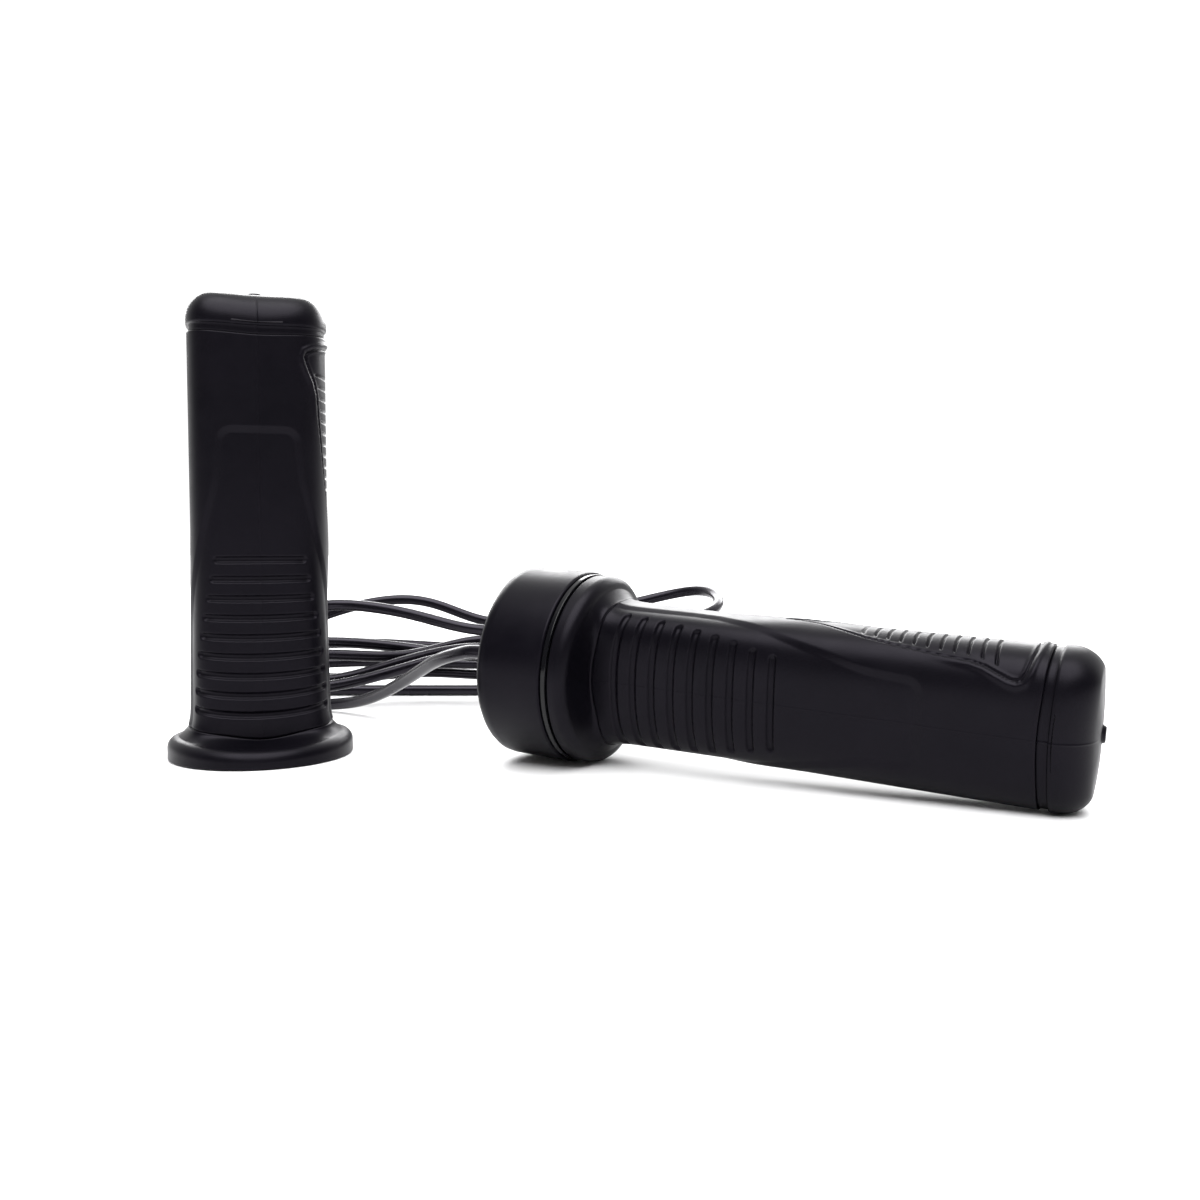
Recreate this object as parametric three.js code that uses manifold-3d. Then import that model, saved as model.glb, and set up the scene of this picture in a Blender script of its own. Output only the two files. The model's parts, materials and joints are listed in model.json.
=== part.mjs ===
// A skipping rope laid out for storage: one moulded handle stands on its flange, the other lies
// beside it with its swivel housing on, and the cord lies in a loose oval pile behind them.
// Millimetres, +Z up. The origin is on the floor, under the middle of the two handles.
//
// Each handle is built along its own +Z, from its flange face (0) to its butt. Its flat grooved
// faces look along +X and -X, and the crowned thumb edge looks along +Y.

import * as THREE from 'three';
import { mergeVertices } from 'three/addons/utils/BufferGeometryUtils.js';
import Module from 'manifold-3d';

const wasm = await Module();
wasm.setup();

// Clearance between pieces that touch in the real object.
const GAP = 0.3;

// Grip: an oval sleeve that flares into a round flange.
const HANDLE_LENGTH = 146;
const GRIP_HALF_WIDTH = 20.8;
const GRIP_HALF_THICKNESS = 15;
const GRIP_SQUARENESS = 3.2;
const FLANGE_RADIUS = 29;
const FLANGE_RIM = 4.2;
const FLARE_TOP = 13;
const GRIP_TOP = 134.3;
const BORE_RADIUS = 12.3;

// Nine finger slots on each flat face, measured from the flange.
const SLOT_COUNT = 9;
const FIRST_SLOT = 14.8;
const SLOT_PITCH = 6.1;
const SLOT_RADIUS = 1.15;
const SLOT_DEPTH = 0.8;
const SLOT_REACH_NEAR = 15.5;
const SLOT_REACH_FAR = 12.5;

// Butt plug: a soft rounded block above a shallow neck band.
const BAND_HEIGHT = 2.6;
const BAND_DEPTH = 0.6;
const SPIGOT_LENGTH = 14;

// Core tube and the carrier that holds the swivel bush in it.
const CORE_RADIUS = 12;
const CORE_BORE = 10.2;
const CORE_BOTTOM = 22;
const CARRIER_RADIUS = CORE_BORE - GAP;
const CARRIER_BOTTOM = 24;
const CARRIER_LENGTH = 9;
const BUSH_RADIUS = 4.5;
const BUSH_FLANGE_RADIUS = 7;
const BUSH_FLANGE = 1.2;

// Swivel spindle: a socket that grips the cord, on a shaft that turns in the bush.
const MOUTH = 13;
const SOCKET_RADIUS = 5.2;
const SOCKET_TOP = 22.2;
const SOCKET_DEPTH = 6.5;
const SHAFT_RADIUS = 2.6;
const SHAFT_TOP = 38;
const CLIP_BOTTOM = 35.2;
const CLIP_THICKNESS = 1;
const CLIP_NECK = 1.8;
const CLIP_RADIUS = 5;
const WASHER_RADIUS = 6;
const WASHER_THICKNESS = 1;
const GRUB_RADIUS = 1.2;
const GRUB_HEIGHT = 16.2;

// Swivel housing on the lying handle.
const CAP_RADIUS = 29.9;
const CAP_LENGTH = 25.3;
const CAP_WALL = 3;
const CAP_EDGE = 3;
const CAP_MOUTH_EDGE = 0.6;
const NECK_EXPOSED = 1.8;
const NECK_RADIUS = 28.5;
const BOSS_LENGTH = 8;
const GROMMET_RADIUS = 4.6;
const GROMMET_LIP = 6.6;

// Cord.
const CORD_DIAMETER = 4.6;
const CORD_RADIUS = CORD_DIAMETER / 2;
const CORD_SIDES = 10;
const BEND_RADIUS = 9.6;

// Layout on the floor.
const UPRIGHT_AT = new THREE.Vector2(-106.69, 31.85);
const UPRIGHT_YAW = THREE.MathUtils.degToRad(-71);
const LYING_AT = new THREE.Vector2(1.44, 19.26);
const LYING_YAW = THREE.MathUtils.degToRad(-27.8);
const LYING_ROLL = THREE.MathUtils.degToRad(6.5);
const BUTT_CONTACT = 141;
const CAP_CONTACT = -NECK_EXPOSED - GAP - CAP_MOUTH_EDGE;
const LYING_TILT = Math.atan((CAP_RADIUS - ovalReach(LYING_ROLL)) / (BUTT_CONTACT - CAP_CONTACT));
const LYING_HEIGHT = CAP_RADIUS * Math.cos(LYING_TILT) + CAP_CONTACT * Math.sin(LYING_TILT);
const NOTCH_HEADING = THREE.MathUtils.degToRad(125);
const NOTCH_WIDTH = 6.6;
const NOTCH_HEIGHT = 6.6;

// The pile's outer shape: an oval ring with round ends.
const PILE_CENTRE = new THREE.Vector2(-26.4, 146);
const PILE_HALF_LENGTH = 122;
const PILE_HALF_DEPTH = 32.6;
const PILE_WALL = 22;
const PILE_HEIGHT = 50;

// The cord's free stretches, each from its swivel socket to the face of the pile.
const UPRIGHT_LEAD_FLOOR = [
  [-125.9, 59.3, 3.1],
  [-134.9, 73.4, 3.4],
  [-141.9, 88.4, 6.0],
  [-144.9, 103.4, 10.5],
  [-142.9, 116.4, 16.0],
  [-140, 122.3, 18.9],
];
const LYING_LEAD_FALL = [
  [-50.5, 50.4, 29.6],
  [-59.7, 67.4, 23.4],
  [-69.3, 81.9, 17.0],
  [-79.5, 95.4, 10.8],
  [-87.9, 105.0, 6.8],
  [-92.9, 110.4, 5.2],
];
const LYING_LEAD_STRAIGHT = 46;

const COLOURS = {
  grip: { color: 0x17161a, roughness: 0.48, metalness: 0 },
  cap: { color: 0x141317, roughness: 0.42, metalness: 0 },
  neck: { color: 0x0b0b0d, roughness: 0.12, metalness: 0 },
  cord: { color: 0x121114, roughness: 0.32, metalness: 0 },
  core: { color: 0x3a3b40, roughness: 0.55, metalness: 0 },
  bush: { color: 0xd8d4c8, roughness: 0.5, metalness: 0 },
  steel: { color: 0xb4b6ba, roughness: 0.3, metalness: 1 },
};

/** How far the grip's oval reaches from its middle in a direction turned from its wide way. */
function ovalReach(turn) {
  const power = GRIP_SQUARENESS / (GRIP_SQUARENESS - 1);
  const across = (GRIP_HALF_THICKNESS * Math.abs(Math.sin(turn))) ** power;
  const along = (GRIP_HALF_WIDTH * Math.abs(Math.cos(turn))) ** power;
  return (across + along) ** (1 / power);
}

/** A named mesh with a material of its own. */
function piece(name, geometry, finish) {
  const mesh = new THREE.Mesh(geometry, new THREE.MeshStandardMaterial(COLOURS[finish]));
  mesh.name = name;
  return mesh;
}

/** A solid turned about +Z, from [radius, height] points that go anticlockwise round its section. */
function turned(points, sides = 32) {
  const profile = points.map(([radius, height]) => new THREE.Vector2(radius, height));
  const geometry = new THREE.LatheGeometry(profile, sides);
  return geometry.rotateX(Math.PI / 2);
}

/** A plain ring about +Z. */
function ring(inner, outer, low, high, sides = 32) {
  return turned([[inner, low], [outer, low], [outer, high], [inner, high], [inner, low]], sides);
}

/** A geometry as a manifold solid: shared vertices merged, collapsed triangles dropped. */
function toSolid(geometry) {
  const bare = geometry.clone();
  bare.deleteAttribute('normal');
  bare.deleteAttribute('uv');
  const merged = mergeVertices(bare, 1e-4);
  const index = merged.index.array;
  const triangles = [];
  for (let i = 0; i < index.length; i += 3) {
    const [a, b, c] = [index[i], index[i + 1], index[i + 2]];
    if (a !== b && b !== c && c !== a) {
      triangles.push(a, b, c);
    }
  }
  return new wasm.Manifold(new wasm.Mesh({
    numProp: 3,
    vertProperties: new Float32Array(merged.attributes.position.array),
    triVerts: new Uint32Array(triangles),
  }));
}

/** A manifold solid back as a geometry. */
function toGeometry(solid) {
  const mesh = solid.getMesh();
  const geometry = new THREE.BufferGeometry();
  geometry.setAttribute('position', new THREE.BufferAttribute(new Float32Array(mesh.vertProperties), 3));
  geometry.setIndex(new THREE.BufferAttribute(new Uint32Array(mesh.triVerts), 1));
  geometry.computeVertexNormals();
  return geometry;
}

/** The grip section's radius at an angle from +X. */
function ovalRadius(angle) {
  const across = Math.abs(Math.cos(angle)) / GRIP_HALF_THICKNESS;
  const along = Math.abs(Math.sin(angle)) / GRIP_HALF_WIDTH;
  return (across ** GRIP_SQUARENESS + along ** GRIP_SQUARENESS) ** (-1 / GRIP_SQUARENESS);
}

/** Presses a turned solid into the grip's oval. Its flange stays round, and so does its bore. */
function pressOval(geometry) {
  const position = geometry.attributes.position;
  for (let i = 0; i < position.count; i += 1) {
    const x = position.getX(i);
    const y = position.getY(i);
    const radius = Math.hypot(x, y);
    if (radius > BORE_RADIUS + 0.01) {
      const oval = ovalRadius(Math.atan2(y, x));
      const flare = (FLANGE_RADIUS - radius) / (FLANGE_RADIUS - GRIP_HALF_WIDTH);
      const wanted = radius > GRIP_HALF_WIDTH
        ? FLANGE_RADIUS + (oval - FLANGE_RADIUS) * flare
        : oval * (radius / GRIP_HALF_WIDTH);
      position.setX(i, (x * wanted) / radius);
      position.setY(i, (y * wanted) / radius);
    }
  }
  geometry.computeVertexNormals();
  return geometry;
}

/** The grip sleeve before its slots are cut. */
function sleeveBlank() {
  const edge = 0.8;
  const flareSteps = 6;
  const flareHeight = FLARE_TOP - FLANGE_RIM;
  const points = [[BORE_RADIUS, 0], [FLANGE_RADIUS - edge, 0], [FLANGE_RADIUS, edge]];
  for (let i = 0; i <= flareSteps; i += 1) {
    const t = i / flareSteps;
    const fall = 1 - (1 - t) ** 1.8;
    points.push([
      FLANGE_RADIUS - (FLANGE_RADIUS - GRIP_HALF_WIDTH) * fall,
      FLANGE_RIM + flareHeight * t,
    ]);
  }
  points.push([GRIP_HALF_WIDTH, GRIP_TOP - edge], [GRIP_HALF_WIDTH - edge, GRIP_TOP]);
  points.push([BORE_RADIUS, GRIP_TOP], [BORE_RADIUS, 0]);
  return toSolid(pressOval(turned(points, 48)));
}

/** The round-ended cutters of the finger slots, on both flat faces. */
function slotCutters() {
  const cutters = [];
  for (let i = 0; i < SLOT_COUNT; i += 1) {
    const t = i / (SLOT_COUNT - 1);
    const reach = SLOT_REACH_NEAR + (SLOT_REACH_FAR - SLOT_REACH_NEAR) * t * t;
    for (const side of [-1, 1]) {
      const cutter = new THREE.CapsuleGeometry(SLOT_RADIUS, 2 * (reach - SLOT_RADIUS), 3, 8);
      const depth = GRIP_HALF_THICKNESS - SLOT_DEPTH + SLOT_RADIUS;
      cutters.push(cutter.translate(side * depth, 0, FIRST_SLOT + SLOT_PITCH * i));
    }
  }
  return cutters;
}

/** The grip sleeve. A notch heading lets the cord out under the flange of a standing handle. */
function gripSleeve(notchHeading = null) {
  let sleeve = sleeveBlank();
  for (const cutter of slotCutters()) {
    sleeve = sleeve.subtract(toSolid(cutter));
  }
  if (notchHeading !== null) {
    const reach = FLANGE_RADIUS + 4;
    const notch = new THREE.BoxGeometry(reach, NOTCH_WIDTH, 2 * NOTCH_HEIGHT);
    notch.translate(reach / 2, 0, 0).rotateZ(notchHeading);
    sleeve = sleeve.subtract(toSolid(notch));
  }
  return toGeometry(sleeve);
}

/** The butt plug, with the spigot that holds it in the core tube. */
function endPlug() {
  const bandBottom = GRIP_TOP + GAP;
  const blockBottom = bandBottom + BAND_HEIGHT;
  const full = GRIP_HALF_WIDTH;
  return pressOval(turned([
    [0, GRIP_TOP - SPIGOT_LENGTH],
    [CORE_BORE - GAP, GRIP_TOP - SPIGOT_LENGTH],
    [CORE_BORE - GAP, bandBottom],
    [full - BAND_DEPTH, bandBottom],
    [full - BAND_DEPTH, blockBottom],
    [full, blockBottom + 0.4],
    [full, blockBottom + 3.4],
    [full - 0.6, blockBottom + 5.6],
    [full - 2, blockBottom + 7.4],
    [full - 4.4, blockBottom + 8.5],
    [0, HANDLE_LENGTH],
  ], 48));
}

/** The snap ring that stops the spindle, open on one side. */
function retainingClip() {
  const mouth = 0.5;
  const shape = new THREE.Shape();
  shape.absarc(0, 0, CLIP_RADIUS, mouth, 2 * Math.PI - mouth, false);
  shape.absarc(0, 0, CLIP_NECK + GAP, 2 * Math.PI - mouth, mouth, true);
  shape.closePath();
  const options = { depth: CLIP_THICKNESS, bevelEnabled: false, curveSegments: 20 };
  return new THREE.ExtrudeGeometry(shape, options).translate(0, 0, CLIP_BOTTOM);
}

/** The spindle: cord socket, collar, shaft and clip groove, with a threaded hole in the socket. */
function spindle() {
  const grooveLow = CLIP_BOTTOM - GAP;
  const grooveHigh = CLIP_BOTTOM + CLIP_THICKNESS + GAP;
  const cordBore = CORD_RADIUS + GAP + 0.1;
  const body = toSolid(turned([
    [0, MOUTH + SOCKET_DEPTH],
    [cordBore, MOUTH + SOCKET_DEPTH],
    [cordBore, MOUTH],
    [SOCKET_RADIUS, MOUTH],
    [SOCKET_RADIUS, SOCKET_TOP],
    [SHAFT_RADIUS, SOCKET_TOP],
    [SHAFT_RADIUS, grooveLow],
    [CLIP_NECK, grooveLow],
    [CLIP_NECK, grooveHigh],
    [SHAFT_RADIUS, grooveHigh],
    [SHAFT_RADIUS, SHAFT_TOP],
    [0, SHAFT_TOP],
  ], 24));
  const hole = new THREE.CylinderGeometry(GRUB_RADIUS + GAP, GRUB_RADIUS + GAP, SOCKET_RADIUS, 16);
  hole.rotateZ(Math.PI / 2).translate(SOCKET_RADIUS / 2 + 1, 0, GRUB_HEIGHT);
  return toGeometry(body.subtract(toSolid(hole)));
}

/** The grub screw that clamps the cord in the socket. */
function grubScrew() {
  const inner = CORD_RADIUS + GAP;
  const length = SOCKET_RADIUS - inner;
  const screw = new THREE.CylinderGeometry(GRUB_RADIUS, GRUB_RADIUS, length, 16);
  return screw.rotateZ(Math.PI / 2).translate(inner + length / 2, 0, GRUB_HEIGHT);
}

/** The bush: a sleeve through the carrier, with its flange on the spindle's side. */
function swivelBush() {
  const bore = SHAFT_RADIUS + GAP;
  const flangeLow = CARRIER_BOTTOM - GAP - BUSH_FLANGE;
  const flangeHigh = CARRIER_BOTTOM - GAP;
  const top = CARRIER_BOTTOM + CARRIER_LENGTH + GAP;
  return turned([
    [bore, flangeLow],
    [BUSH_FLANGE_RADIUS, flangeLow],
    [BUSH_FLANGE_RADIUS, flangeHigh],
    [BUSH_RADIUS, flangeHigh],
    [BUSH_RADIUS, top],
    [bore, top],
    [bore, flangeLow],
  ]);
}

/** Everything that both handles share, along +Z. */
function handle(prefix, sleeve) {
  const washerLow = CLIP_BOTTOM - GAP - WASHER_THICKNESS;
  const carrierTop = CARRIER_BOTTOM + CARRIER_LENGTH;
  const group = new THREE.Group();
  group.add(
    piece(`${prefix}_grip`, sleeve, 'grip'),
    piece(`${prefix}_core_tube`, ring(CORE_BORE, CORE_RADIUS, CORE_BOTTOM, GRIP_TOP, 40), 'core'),
    piece(`${prefix}_end_plug`, endPlug(), 'grip'),
    piece(`${prefix}_bush_carrier`,
      ring(BUSH_RADIUS + GAP, CARRIER_RADIUS, CARRIER_BOTTOM, carrierTop), 'core'),
    piece(`${prefix}_swivel_bush`, swivelBush(), 'bush'),
    piece(`${prefix}_spindle`, spindle(), 'steel'),
    piece(`${prefix}_thrust_washer`,
      ring(SHAFT_RADIUS + GAP, WASHER_RADIUS, washerLow, washerLow + WASHER_THICKNESS), 'steel'),
    piece(`${prefix}_retaining_clip`, retainingClip(), 'steel'),
    piece(`${prefix}_clamp_screw`, grubScrew(), 'steel'),
  );
  return group;
}

/** The neck: a glossy ring between cap and flange, its boss for the cap and its spigot. */
function neckRing() {
  const spigot = BORE_RADIUS - GAP;
  const bore = spigot - 2.4;
  const boss = CAP_RADIUS - CAP_WALL - GAP;
  return turned([
    [bore, -NECK_EXPOSED - BOSS_LENGTH],
    [boss - 1, -NECK_EXPOSED - BOSS_LENGTH],
    [boss, -NECK_EXPOSED - BOSS_LENGTH + 1],
    [boss, -NECK_EXPOSED],
    [NECK_RADIUS, -NECK_EXPOSED],
    [NECK_RADIUS, -GAP],
    [spigot, -GAP],
    [spigot, 8],
    [bore, 8],
    [bore, -NECK_EXPOSED - BOSS_LENGTH],
  ], 48);
}

/** The swivel housing: a cup that snaps over the neck's boss, with the cord's hole in its face. */
function headCap() {
  const face = -CAP_LENGTH;
  const mouth = -NECK_EXPOSED - GAP;
  const hole = GROMMET_RADIUS + GAP;
  const inner = CAP_RADIUS - CAP_WALL;
  const points = [[hole, face], [CAP_RADIUS - CAP_EDGE, face]];
  for (const t of [1 / 3, 2 / 3, 1]) {
    const angle = (t * Math.PI) / 2;
    points.push([
      CAP_RADIUS - CAP_EDGE + CAP_EDGE * Math.sin(angle),
      face + CAP_EDGE - CAP_EDGE * Math.cos(angle),
    ]);
  }
  points.push([CAP_RADIUS, mouth - CAP_MOUTH_EDGE], [CAP_RADIUS - CAP_MOUTH_EDGE, mouth]);
  points.push([inner, mouth]);
  points.push([inner, face + CAP_WALL], [hole, face + CAP_WALL], [hole, face]);
  return turned(points, 56);
}

/** The soft ring in the cap's hole, with a lip on either side of the face. */
function capGrommet() {
  const bore = CORD_RADIUS + 2 * GAP;
  const outside = -CAP_LENGTH - GAP;
  const inside = -CAP_LENGTH + CAP_WALL + GAP;
  const lip = 0.9;
  return turned([
    [bore, outside - lip],
    [GROMMET_LIP, outside - lip],
    [GROMMET_LIP, outside],
    [GROMMET_RADIUS, outside],
    [GROMMET_RADIUS, inside],
    [GROMMET_LIP, inside],
    [GROMMET_LIP, inside + lip],
    [bore, inside + lip],
    [bore, outside - lip],
  ], 28);
}

/** A cord tube through a list of points. */
function cordTube(points, steps) {
  const section = new THREE.Shape();
  for (let i = 0; i < CORD_SIDES; i += 1) {
    const angle = (2 * Math.PI * i) / CORD_SIDES;
    const corner = [CORD_RADIUS * Math.cos(angle), CORD_RADIUS * Math.sin(angle)];
    if (i === 0) {
      section.moveTo(...corner);
    } else {
      section.lineTo(...corner);
    }
  }
  section.closePath();
  const path = new THREE.CatmullRomCurve3(points, false, 'centripetal');
  return new THREE.ExtrudeGeometry(section, { steps, bevelEnabled: false, extrudePath: path });
}

/** The cord from the standing handle: down, round under the flange, out of the notch, to the pile. */
function uprightLead() {
  const out = new THREE.Vector2(Math.cos(NOTCH_HEADING), Math.sin(NOTCH_HEADING));
  const start = new THREE.Vector3(UPRIGHT_AT.x, UPRIGHT_AT.y, MOUTH + SOCKET_DEPTH - 1);
  const points = [start, start.clone().setZ(MOUTH)];
  for (const t of [1 / 3, 2 / 3, 1]) {
    const angle = (t * Math.PI) / 2;
    const reach = BEND_RADIUS * (1 - Math.cos(angle));
    const height = MOUTH - BEND_RADIUS * Math.sin(angle);
    points.push(new THREE.Vector3(UPRIGHT_AT.x + out.x * reach, UPRIGHT_AT.y + out.y * reach, height));
  }
  points.push(...UPRIGHT_LEAD_FLOOR.map((point) => new THREE.Vector3(...point)));
  return cordTube(points, 36);
}

/** The cord from the lying handle: straight along its axis, then down to the floor and the pile. */
function lyingLead(lyingHandle) {
  const inner = new THREE.Vector3(0, 0, MOUTH + SOCKET_DEPTH - 1);
  const outer = new THREE.Vector3(0, 0, -LYING_LEAD_STRAIGHT);
  const points = [0, 0.25, 0.5, 0.75, 1].map((t) => inner.clone().lerp(outer, t));
  points.forEach((point) => point.applyMatrix4(lyingHandle.matrixWorld));
  points.push(...LYING_LEAD_FALL.map((point) => new THREE.Vector3(...point)));
  return cordTube(points, 26);
}

/** The outer shape of the piled cord. */
function ropePile() {
  const outline = (Path, inset) => {
    const path = new Path();
    const radius = PILE_HALF_DEPTH - inset;
    const straight = PILE_HALF_LENGTH - PILE_HALF_DEPTH;
    path.absarc(straight, 0, radius, -Math.PI / 2, Math.PI / 2, false);
    path.absarc(-straight, 0, radius, Math.PI / 2, (3 * Math.PI) / 2, false);
    path.closePath();
    return path;
  };
  const shape = outline(THREE.Shape, 0);
  shape.holes.push(outline(THREE.Path, PILE_WALL));
  const options = { depth: PILE_HEIGHT, bevelEnabled: false, curveSegments: 14 };
  return new THREE.ExtrudeGeometry(shape, options).translate(PILE_CENTRE.x, PILE_CENTRE.y, 0);
}

const upright = handle('upright', gripSleeve(NOTCH_HEADING - UPRIGHT_YAW));
upright.position.set(UPRIGHT_AT.x, UPRIGHT_AT.y, 0);
upright.rotation.z = UPRIGHT_YAW;

// The lying handle's axis points along the floor, its thumb edge up and rolled a little forward.
const lying = handle('lying', gripSleeve());
lying.add(
  piece('neck_ring', neckRing(), 'neck'),
  piece('head_cap', headCap(), 'cap'),
  piece('cap_grommet', capGrommet(), 'cap'),
);
const layDown = new THREE.Matrix4().makeBasis(
  new THREE.Vector3(0, 1, 0),
  new THREE.Vector3(0, 0, 1),
  new THREE.Vector3(1, 0, 0),
);
lying.quaternion.setFromEuler(new THREE.Euler(0, LYING_TILT, LYING_YAW, 'ZYX'));
lying.quaternion.multiply(new THREE.Quaternion().setFromRotationMatrix(layDown));
lying.rotateZ(LYING_ROLL);
lying.position.set(LYING_AT.x, LYING_AT.y, LYING_HEIGHT);
lying.updateMatrixWorld(true);

const jumpRope = new THREE.Group();
jumpRope.add(
  upright,
  lying,
  piece('rope_pile', ropePile(), 'cord'),
  piece('upright_lead', uprightLead(), 'cord'),
  piece('lying_lead', lyingLead(lying), 'cord'),
);

export default jumpRope;
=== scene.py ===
"""A skipping rope laid out for storage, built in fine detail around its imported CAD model.

One handle stands on its flange, the other lies beside it with its swivel housing on, and one
long PVC cord lies in a loose oval pile behind them. Blender's unit is the metre. The handles'
own sizes are in millimetres along their own axes: each runs from its flange face (0) to its
butt along +Z, its flat grooved faces look along +X and -X, and its thumb edge along +Y.
"""

import json
import math

import bpy
import numpy as np
from mathutils import Matrix, Vector


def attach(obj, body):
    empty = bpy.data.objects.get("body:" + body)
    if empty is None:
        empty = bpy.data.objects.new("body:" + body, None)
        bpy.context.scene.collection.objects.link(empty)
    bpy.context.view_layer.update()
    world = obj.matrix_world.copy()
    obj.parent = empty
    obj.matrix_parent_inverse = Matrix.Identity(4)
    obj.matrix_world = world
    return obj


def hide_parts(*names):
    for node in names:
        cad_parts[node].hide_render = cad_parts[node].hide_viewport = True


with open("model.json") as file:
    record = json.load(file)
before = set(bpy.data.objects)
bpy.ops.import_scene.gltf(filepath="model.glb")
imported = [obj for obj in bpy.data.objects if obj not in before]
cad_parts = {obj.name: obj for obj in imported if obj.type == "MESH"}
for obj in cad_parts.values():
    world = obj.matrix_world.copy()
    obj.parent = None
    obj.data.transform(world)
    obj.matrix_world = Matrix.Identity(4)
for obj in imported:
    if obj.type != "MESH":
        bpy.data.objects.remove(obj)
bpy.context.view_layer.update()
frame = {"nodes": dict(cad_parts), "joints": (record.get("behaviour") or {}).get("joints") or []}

MM = 0.001
joints = {joint["name"]: joint for joint in frame["joints"]}
upright_joint = joints["upright_rope_swivel"]
lying_joint = joints["lying_rope_swivel"]
ROOT = "handles_and_rope"
UPRIGHT_YAW = math.radians(-71)
LYING_ROLL = math.radians(6.5)

# The swivel is at the same height above the flange face in both handles.
swivel_height = upright_joint["pos_m"][2]
lying_axis = np.array(lying_joint["axis"])
lying_origin = np.array(lying_joint["pos_m"]) - lying_axis * swivel_height
upright_origin = np.array(upright_joint["pos_m"]) * (1, 1, 0)


def handle_matrix(origin, along, face, roll=0.0):
    """From a handle's own millimetres to the scene: its axis, where its flat face looks, its roll."""
    z_axis = Vector(along).normalized()
    x_axis = Vector(face).normalized()
    y_axis = z_axis.cross(x_axis)
    matrix = Matrix((x_axis, y_axis, z_axis)).transposed().to_4x4()
    matrix.translation = origin
    return matrix @ Matrix.Rotation(roll, 4, "Z") @ Matrix.Scale(MM, 4)


upright_matrix = handle_matrix(
    upright_origin, (0, 0, 1), (math.cos(UPRIGHT_YAW), math.sin(UPRIGHT_YAW), 0)
)
lying_matrix = handle_matrix(
    lying_origin, lying_axis, (-lying_axis[1], lying_axis[0], 0), LYING_ROLL
)


# ---- camera --------------------------------------------------------------------------------------
CAMERA_AT = (0.00374, -0.33079, 0.0706)
CAMERA_PITCH = 0.0562
CAMERA_LENS = 33.57
CAMERA_SENSOR = 36


def make_camera():
    """The photograph's viewpoint: close, level with the handles and tipped a little down."""
    data = bpy.data.cameras.new("camera")
    data.lens = CAMERA_LENS
    data.sensor_width = CAMERA_SENSOR
    data.clip_start = 0.01
    camera = bpy.data.objects.new("camera", data)
    camera.location = CAMERA_AT
    camera.rotation_euler = (math.pi / 2 - CAMERA_PITCH, 0, 0)
    bpy.context.scene.collection.objects.link(camera)
    bpy.context.scene.camera = camera


make_camera()


# ---- materials -----------------------------------------------------------------------------------
RANGE_SOCKETS = ("From Min", "From Max", "To Min", "To Max")
CRISP_SPAN = (0.35, 0.65)
WIDE_SPAN = (0.3, 0.7)


class Shader:
    """A node material under construction, around one Principled shader."""

    def __init__(self, name, colour, roughness, **sockets):
        self.material = bpy.data.materials.new(name)
        self.material.use_nodes = True
        self.nodes = self.material.node_tree.nodes
        self.links = self.material.node_tree.links
        self.surface = self.nodes["Principled BSDF"]
        self.surface.inputs["Base Color"].default_value = (*colour, 1)
        self.surface.inputs["Roughness"].default_value = roughness
        for socket, value in sockets.items():
            self.surface.inputs[socket.replace("_", " ")].default_value = value
        self.place = self.nodes.new("ShaderNodeTexCoord").outputs["Object"]

    def noise(self, scale, detail, roughness=0.5):
        """Noise in the object's own metres."""
        node = self.nodes.new("ShaderNodeTexNoise")
        node.inputs["Scale"].default_value = scale
        node.inputs["Detail"].default_value = detail
        node.inputs["Roughness"].default_value = roughness
        self.links.new(self.place, node.inputs["Vector"])
        return node.outputs["Fac"]

    def spread(self, source, low, high, dark, light):
        """A value between low and high turned into one between dark and light."""
        node = self.nodes.new("ShaderNodeMapRange")
        for socket, value in zip(RANGE_SOCKETS, (low, high, dark, light)):
            node.inputs[socket].default_value = value
        self.links.new(source, node.inputs["Value"])
        return node.outputs["Result"]

    def tint(self, source, dark, light):
        """A colour between dark and light."""
        node = self.nodes.new("ShaderNodeMix")
        node.data_type = "RGBA"
        node.inputs["A"].default_value = (*dark, 1)
        node.inputs["B"].default_value = (*light, 1)
        self.links.new(source, node.inputs["Factor"])
        self.links.new(node.outputs["Result"], self.surface.inputs["Base Color"])

    def mottle(self, scale, detail, span, dark, light):
        """Clouds between a dark and a light colour. A narrow span of the noise makes them crisp."""
        self.tint(self.spread(self.noise(scale, detail), *span, 0, 1), dark, light)

    def wear(self, scale, detail, low, high, grain=0.5):
        """Roughness that wanders between low and high."""
        source = self.spread(self.noise(scale, detail, grain), *WIDE_SPAN, low, high)
        self.links.new(source, self.surface.inputs["Roughness"])

    def bump(self, source, distance, strength):
        """Raises the surface by the source, over what is already raised."""
        node = self.nodes.new("ShaderNodeBump")
        node.inputs["Distance"].default_value = distance
        node.inputs["Strength"].default_value = strength
        normal = self.surface.inputs["Normal"]
        if normal.links:
            self.links.new(normal.links[0].from_socket, node.inputs["Normal"])
        self.links.new(source, node.inputs["Height"])
        self.links.new(node.outputs["Normal"], normal)


BLACK_TINT = (0.90, 0.84, 1.0, 1)


def grip_material():
    """Black soft plastic with a spark-eroded mould grain, a little polished where it is held."""
    shader = Shader(
        "grip_plastic", (0.0030, 0.0025, 0.0043), 0.36,
        Specular_IOR_Level=0.11, Specular_Tint=BLACK_TINT,
    )
    shader.mottle(38, 4, CRISP_SPAN, (0.0016, 0.0014, 0.0025), (0.0026, 0.0022, 0.0037))
    shader.wear(90, 5, 0.33, 0.43, 0.6)
    shader.bump(shader.noise(2600, 2), 0.00003, 0.5)
    shader.bump(shader.noise(260, 3), 0.00005, 0.25)
    return shader.material


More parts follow.
